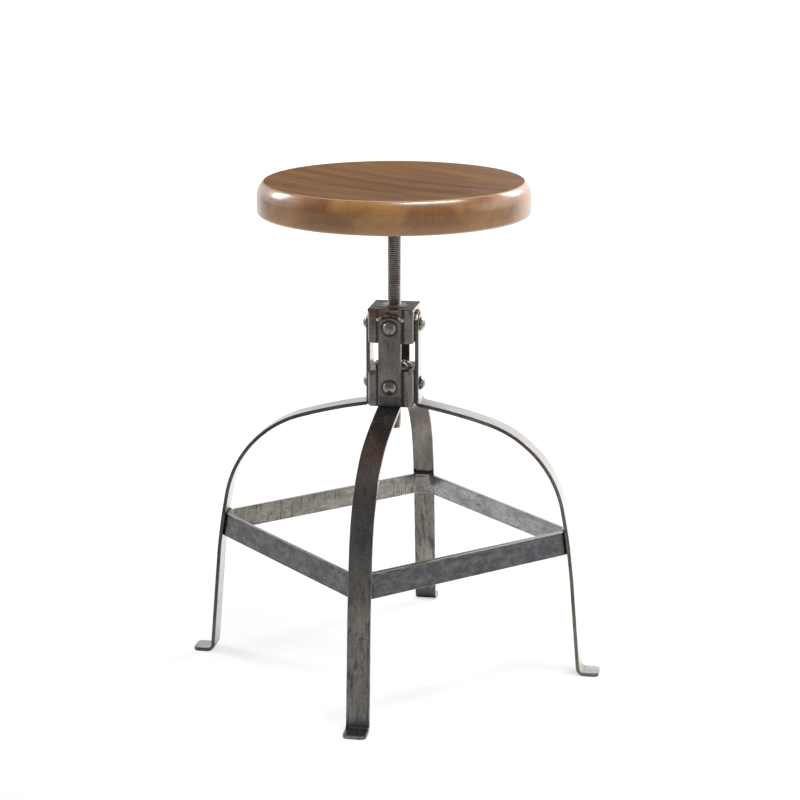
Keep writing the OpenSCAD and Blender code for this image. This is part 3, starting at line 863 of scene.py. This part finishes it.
# Footrest
def make_ring():
    """A straight length of bar is wrapped round the square path, leaning out at its foot."""
    low, high = RING_Z
    height = high - low
    foot_t = BAR_T * math.sqrt(1 + RING_SLOPE ** 2)
    bend_x = RING_LOW_REACH - RING_BEND_R
    bar = math.sqrt(2) * (bend_x - RING_BEND_Y)
    bend = RING_BEND_R * math.pi / 4
    # Lengths of bar from the middle of a flat corner to the ends of its parts
    flat_end = RING_BEND_Y
    bar_start = flat_end + bend
    bar_end = bar_start + bar
    flat_start = bar_end + bend
    quarter = flat_start + RING_BEND_Y
    bm = bmesh.new()
    bmesh.ops.create_cube(bm, size=1.0)
    bmesh.ops.scale(bm, vec=(4 * quarter, foot_t, height), verts=bm.verts[:])
    move(bm, (2 * quarter, -foot_t / 2, height / 2))
    caps = [f for f in bm.faces if abs(f.normal.x) > 0.9]
    bmesh.ops.delete(bm, geom=caps, context="FACES_ONLY")
    round_edges(bm, [e for e in bm.edges if len(e.link_faces) == 2], 0.6)
    parts = ((0.0, flat_end, 4.0), (flat_end, bar_start, 1.2), (bar_start, bar_end, 10.0),
             (bar_end, flat_start, 1.2), (flat_start, quarter, 4.0))
    slice_runs(bm, [(q * quarter + start, q * quarter + end, pitch)
                    for q in range(4) for start, end, pitch in parts])
    blank = blank_layer(bm)
    for v in bm.verts:
        s, depth, z = v.co
        v[blank] = ((s + RING_SHIFT) * MM, (z - height / 2) * MM, (depth + foot_t / 2) * MM)
        q = int(s // quarter) % 4
        d = s - q * quarter if s < 4 * quarter - 1e-4 else 0.0
        r = RING_BEND_R - RING_SLOPE * z + depth
        if d <= flat_end:
            x, y = bend_x + r, d
        elif d <= bar_start:
            a = (d - flat_end) / RING_BEND_R
            x, y = bend_x + r * math.cos(a), RING_BEND_Y + r * math.sin(a)
        elif d <= bar_end:
            along = d - bar_start
            x, y = bend_x + (r - along) / math.sqrt(2), RING_BEND_Y + (r + along) / math.sqrt(2)
        elif d <= flat_start:
            a = math.pi / 4 + (d - bar_end) / RING_BEND_R
            x, y = RING_BEND_Y + r * math.cos(a), bend_x + r * math.sin(a)
        else:
            x, y = quarter - d, bend_x + r
        v.co = about_z(90 * q) @ Vector((x, y, z + low))
    finish_piece(bm, "footrest_bar", "base", BAR_STEEL, ("footrest_ring",))


# Brackets
def make_tube(name, low, high):
    bm = sheet(TUBE_W, TUBE_W, (0, 0, low))
    round_corners(bm, bm.verts[:], TUBE_CORNER_R)
    bmesh.ops.inset_region(bm, faces=bm.faces[:], thickness=TUBE_WALL, use_even_offset=True,
                           use_boundary=True)
    middle = max(bm.faces, key=lambda face: face.calc_area())
    bmesh.ops.delete(bm, geom=[middle], context="FACES_ONLY")
    thicken(bm, high - low)
    round_edges(bm, level_creases(bm, 60), 0.5)
    finish_piece(bm, name + "_body", "base", BRACKET_STEEL, (name,))


def make_plate(name, z):
    """A square sheet with a round hole, raised to its thickness."""
    bm = sheet(TUBE_W, TUBE_W)
    bmesh.ops.subdivide_edges(bm, edges=bm.edges[:], cuts=7)
    bmesh.ops.delete(bm, geom=bm.faces[:], context="FACES_ONLY")
    bmesh.ops.create_circle(bm, segments=32, radius=BUSH_R + BUSH_GAP)
    bmesh.ops.bridge_loops(bm, edges=bm.edges[:])
    move(bm, (0, 0, z))
    thicken(bm, PLATE_T)
    bmesh.ops.recalc_face_normals(bm, faces=bm.faces[:])
    rim = [e for e in creased(bm) if max(abs(e.verts[0].co.x), abs(e.verts[0].co.y)) > TUBE_W / 2 - 0.1]
    round_edges(bm, rim, 0.5)
    finish_piece(bm, name + "_body", "base", BRACKET_STEEL, (name,))


def make_bush(name, plate_z):
    top = plate_z + PLATE_T + BUSH_PROUD
    bottom = top - BUSH_L
    bore = ROD_R + THREAD_GAP
    bm = bmesh.new()
    lathe(bm, [(bore, bottom + 0.4), (bore + 0.4, bottom), (BUSH_R - 0.8, bottom), (BUSH_R, bottom + 0.8),
               (BUSH_R, top - 0.7), (BUSH_R - 0.25, top - 0.2), (BUSH_R - 0.8, top), (bore + 1.0, top),
               (bore + 0.3, top - 0.4), (bore, top - 0.9), (bore, bottom + 0.4)], 64)
    finish_piece(bm, name + "_turned", "base", BUSH_STEEL, (name,))


# Bolts
def bolt_outline():
    """Half section of a bolt, with the underside of its head at height 0."""
    dome_h = 5.8
    dome_r = (HEAD_R ** 2 + dome_h ** 2) / (2 * dome_h)
    outline = [(0.0, -SHANK_L), (SHANK_R - 0.4, -SHANK_L), (SHANK_R, 0.6 - SHANK_L), (SHANK_R, 0.0),
               (HEAD_R - 0.4, 0.0), (HEAD_R, 0.35), (HEAD_R, 1.0)]
    for step in range(1, 11):
        r = (HEAD_R - 0.15) * math.cos(math.radians(9 * step)) if step < 10 else 0.0
        outline.append((r, HEAD_H - dome_r + math.sqrt(dome_r ** 2 - r * r)))
    return outline


def make_bolts(name, z):
    """Domed heads, each with its own hammer marks, with the shanks behind them."""
    bm = bmesh.new()
    for i, angle in enumerate(QUARTERS):
        one = bmesh.new()
        lathe(one, bolt_outline(), 40)
        for v in one.verts:
            if v.co.z > HEAD_RIM:
                near = Vector((v.co.x * 0.16, v.co.y * 0.16, i * 9.7 + z))
                v.co.z -= 0.55 * (0.5 + 0.5 * noise.noise(near)) * min(1.0, (v.co.z - HEAD_RIM) / 2)
        turn(one, Matrix.Rotation(math.pi / 2, 3, "Y"))
        move(one, (TUBE_W / 2 + BAR_T, 0, z))
        turn(one, about_z(angle))
        holder = bpy.data.meshes.new("holder")
        one.to_mesh(holder)
        one.free()
        bm.from_mesh(holder)
        bpy.data.meshes.remove(holder)
    finish_piece(bm, name + "_domed", "base", BOLT_STEEL, (name,))


# Welds
def bead(bm, path, radius, seed):
    """A weld bead as overlapping drops along a path, each of its own size."""
    for i, point in enumerate(path):
        jitter = noise.noise_vector(Vector((i * 1.7, seed * 3.1, 0.5)))
        size = radius * (1.0 + 0.28 * jitter.z)
        drop = bmesh.ops.create_icosphere(bm, subdivisions=3, radius=size)
        for v in drop["verts"]:
            v.co += 0.10 * radius * noise.noise_vector(v.co * 1.3 + Vector((seed, i * 0.7, 0)))
        bmesh.ops.translate(bm, vec=Vector(point) + 0.18 * radius * jitter, verts=drop["verts"])


def around_axis(points, angle):
    return [about_z(angle) @ Vector(point) for point in points]


def make_bracket_welds():
    """Arches over the strap ends, lines below the lower plate, and rings round the bushes."""
    bm = bmesh.new()
    face = TUBE_W / 2
    for i, angle in enumerate(QUARTERS):
        arch = []
        for y in spread(15.5, 17):
            rise = math.sqrt(STRAP_END_R ** 2 - min(abs(y), BAR_W / 2) ** 2) - STRAP_END_R
            arch.append((face + 0.9, y, STRAP_TOP + rise + 2.2))
        bead(bm, around_axis(arch, angle), 2.6, 11 + i)
        line = [(face - 1.2, y, LOWER_TUBE[1] + 0.4) for y in spread(20, 16)]
        bead(bm, around_axis(line, angle), 1.1, 31 + i)
    for top, radius, reach, seed in ((LOWER_TUBE[1] + PLATE_T - 1, 4.6, 5.0, 51),
                                     (UPPER_TUBE[1] + PLATE_T, 1.1, 0.7, 53)):
        count = int(math.tau * (BUSH_R + reach) / (0.8 * radius))
        ring = arc(0, 0, BUSH_R + reach, 0, 360, count)[:-1]
        bead(bm, [(x, y, top) for x, y in ring], radius, seed)
    finish_piece(bm, "bracket_welds", "base", WELD, sharp=60, flat=False)


def make_footrest_welds():
    """Short lines over and under the footrest at each leg."""
    bm = bmesh.new()
    low, high = RING_Z
    high_reach = RING_LOW_REACH - RING_SLOPE * (high - low)
    for i, angle in enumerate(QUARTERS):
        for reach, z, seed in ((high_reach, high + 0.3, 72), (RING_LOW_REACH, low + 0.7, 71)):
            line = [(reach - 0.9, y, z) for y in spread(11.5, 15)]
            bead(bm, around_axis(line, angle), 1.15, seed + 2 * i)
    finish_piece(bm, "footrest_welds", "base", WELD, sharp=60, flat=False)


make_bracket_welds()
make_footrest_welds()
make_seat_board()
make_threaded_rod()
for index, (name, angle) in enumerate(LEGS.items()):
    make_leg(name, angle, index)
make_ring()
make_tube("lower_tube", *LOWER_TUBE)
make_tube("upper_tube", *UPPER_TUBE)
make_plate("lower_plate", LOWER_TUBE[1])
make_plate("upper_plate", UPPER_TUBE[1])
make_bush("lower_bush", LOWER_TUBE[1])
make_bush("upper_bush", UPPER_TUBE[1])
make_bolts("lower_bolts", LOWER_BOLT_Z)
make_bolts("upper_bolts", UPPER_BOLT_Z)

CAD_FINISH = {"seat_flange": BRACKET_STEEL, "seat_screws": BOLT_STEEL, "thrust_washer": BUSH_STEEL,
              "jam_nut": BOLT_STEEL, "upper_nuts": BOLT_STEEL, "lower_nuts": BOLT_STEEL}
for name, material in CAD_FINISH.items():
    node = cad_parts[name]
    node.data.materials.clear()
    node.data.materials.append(material)


# Stage, light and camera
def lamp(name, place, aim, long_way, width, height, power):
    """A soft box at a place, aimed at a point, with its width laid along a given direction."""
    data = bpy.data.lights.new(name, "AREA")
    data.shape = "RECTANGLE"
    data.size = width
    data.size_y = height
    data.energy = power
    back = (Vector(place) - Vector(aim)).normalized()
    side = (Vector(long_way) - back * back.dot(Vector(long_way))).normalized()
    up = back.cross(side)
    holder = bpy.data.objects.new(name, data)
    holder.matrix_world = Matrix.Translation(place) @ Matrix((side, up, back)).transposed().to_4x4()
    bpy.context.scene.collection.objects.link(holder)


def make_floor():
    """White ground that glows to the camera and in mirrors, and is clear from below."""
    bm = bmesh.new()
    bmesh.ops.create_circle(bm, segments=64, radius=14.0, cap_ends=True)
    floor = add_object("floor", bm)
    glow_tint, lit_tint, grey = shade(0.94, 0.95, 1.0), shade(0.47, 0.465, 0.435), shade(0.8, 0.8, 0.8)
    seat_shadow = (-0.25, 0.18, 0.0)
    material, g = new_material("floor_white")
    rays = g.put("ShaderNodeLightPath").outputs
    in_mirror = rays["Is Glossy Ray"]
    seen = g.most(rays["Is Camera Ray"], in_mirror, rays["Is Transmission Ray"])
    point = g.coordinates()
    x, y, _ = g.axes(point)

    # What mirrors see: brightest behind the stool, darker beside it and where things touch
    behind = g.span(y, -0.45, 0.35)
    widening = g.times(g.most(y, 0.0), 0.8)
    beside = g.most(g.times(x, -1.25), x)
    lit_zone = g.times(behind, g.span(g.minus(beside, widening), 1.25, 0.5))
    contact = g.put("ShaderNodeAmbientOcclusion", {"Distance": 0.08}, samples=4).outputs["AO"]
    far_left = g.times(g.span(x, 0.02, -0.10), g.span(y, 1.3, 0.9))
    mirrored = g.times(g.span(lit_zone, 0.0, 1.0, 0.22, 1.0), g.calc("POWER", contact, 3.0),
                       g.span(far_left, 0.0, 1.0, 1.0, 0.80))

    # What the camera sees: a soft pool of shade round the stool, and a painted pool of light where the seat's
    # shadow falls
    apart = g.put("ShaderNodeVectorMath", {0: point}, operation="LENGTH").outputs["Value"]
    in_front = g.most(g.span(y, -0.8, -0.1, 0.80, 1.0), g.span(apart, 2.5, 4.5, 0.80, 1.0))
    plain_view = g.times(g.span(apart, 0.7, 2.4, 0.62, 0.97), in_front)
    under_seat = g.put("ShaderNodeVectorMath", {0: point, 1: seat_shadow}, operation="DISTANCE")
    plain_view = g.plus(plain_view, g.span(under_seat.outputs["Value"], 0.55, 0.10, 0.0, 0.07))

    shown = g.plus(g.times(mirrored, in_mirror), g.times(plain_view, g.minus(1.0, in_mirror)))
    glow = g.put("ShaderNodeEmission", {"Color": glow_tint, "Strength": shown})
    lit = g.put("ShaderNodeBsdfDiffuse", {"Color": lit_tint})
    both = g.put("ShaderNodeAddShader", {0: glow.outputs[0], 1: lit.outputs[0]})
    plain = g.put("ShaderNodeBsdfDiffuse", {"Color": grey})
    shader = g.put("ShaderNodeMixShader", {0: seen, 1: plain.outputs[0], 2: both.outputs[0]})
    from_below = g.put("ShaderNodeNewGeometry").outputs["Backfacing"]
    clear = g.put("ShaderNodeBsdfTransparent")
    shader = g.put("ShaderNodeMixShader", {0: from_below, 1: shader.outputs[0], 2: clear.outputs[0]})
    close_material(g, shader.outputs[0])
    floor.data.materials.append(material)


def make_low_card():
    """A low white card behind the stool that only mirrors see; the camera looks through it."""
    bm = sheet(3.6, 0.94)
    turn(bm, Matrix.Rotation(math.pi / 2, 3, "X"))
    move(bm, (0, 1.3, 0.48))
    card = add_object("low_card", bm)
    material, g = new_material("card_white")
    x, _, z = g.axes(g.coordinates())
    in_mirror = g.put("ShaderNodeLightPath").outputs["Is Glossy Ray"]
    white = g.times(g.most(g.span(z, 0.77, 0.74), g.span(x, -0.14, -0.02)), in_mirror)
    glow = g.put("ShaderNodeEmission", {"Color": WHITE, "Strength": g.span(x, -0.06, 0.12, 1.0, 1.45)})
    clear = g.put("ShaderNodeBsdfTransparent")
    shader = g.put("ShaderNodeMixShader", {0: white, 1: clear.outputs[0], 2: glow.outputs[0]})
    close_material(g, shader.outputs[0])
    card.data.materials.append(material)


def make_world():
    """White to the camera. Mirrors see a dim room with bright walls low behind and at both sides."""
    world = bpy.data.worlds.new("studio")
    bpy.context.scene.world = world
    world.use_nodes = True
    world.node_tree.nodes.clear()
    g = Graph(world.node_tree)
    rays = g.put("ShaderNodeLightPath").outputs
    to_camera, in_mirror = rays["Is Camera Ray"], rays["Is Glossy Ray"]
    x, y, z = g.axes(g.coordinates("Generated"))
    wall_behind = g.times(g.span(z, 0.10, 0.0), g.span(y, 0.2, 0.75))
    walls_aside = g.times(g.most(g.span(x, -0.38, -0.62), g.span(x, -0.04, 0.12, 0.0, 1.5)),
                          g.span(z, 0.62, 0.40), g.span(y, -0.35, 0.05))
    dim_room = g.span(y, -0.35, 0.45, 0.20, 0.09)
    mirrored = g.most(dim_room, wall_behind, walls_aside)
    other_rays = g.minus(1.0, g.most(to_camera, in_mirror))
    strength = g.plus(to_camera, g.times(in_mirror, mirrored), g.times(other_rays, 0.42))
    sky = g.put("ShaderNodeBackground", {"Color": WHITE, "Strength": strength})
    end = g.put("ShaderNodeOutputWorld")
    g.tree.links.new(sky.outputs[0], end.inputs["Surface"])


make_floor()
make_low_card()
make_world()
lamp("left_window", (-2.6, 0.95, 1.95), (0, 0, 0.45), (0, 1, 0), 0.55, 1.1, 30)
lamp("right_window", (1.75, 2.1, 1.95), (0, 0, 0.45), (0.7, -0.7, 0), 0.55, 1.1, 30)
lamp("top_box", (0.82, -0.40, 2.70), (0, 0, 0.65), (1.3, 1.0, 0), 1.4, 0.6, 42)

# The camera that was fitted to the photo's outline
CAMERA_PLACE = (0.5254, -2.8237, 1.1058)
CAMERA_TURN = 10.39
CAMERA_PITCH = 14.43
FOCAL_LENGTH_IN_PIXELS = 2236.2
PHOTO_WIDTH_IN_PIXELS = 800.0
SENSOR_WIDTH = 36.0
camera_data = bpy.data.cameras.new("camera")
camera_data.sensor_width = SENSOR_WIDTH
camera_data.lens = FOCAL_LENGTH_IN_PIXELS * SENSOR_WIDTH / PHOTO_WIDTH_IN_PIXELS
camera = bpy.data.objects.new("camera", camera_data)
camera.location = CAMERA_PLACE
camera.rotation_euler = (math.radians(90 - CAMERA_PITCH), 0.0, math.radians(CAMERA_TURN))
bpy.context.scene.collection.objects.link(camera)
bpy.context.scene.camera = camera
bpy.context.scene.view_settings.view_transform = "Standard"
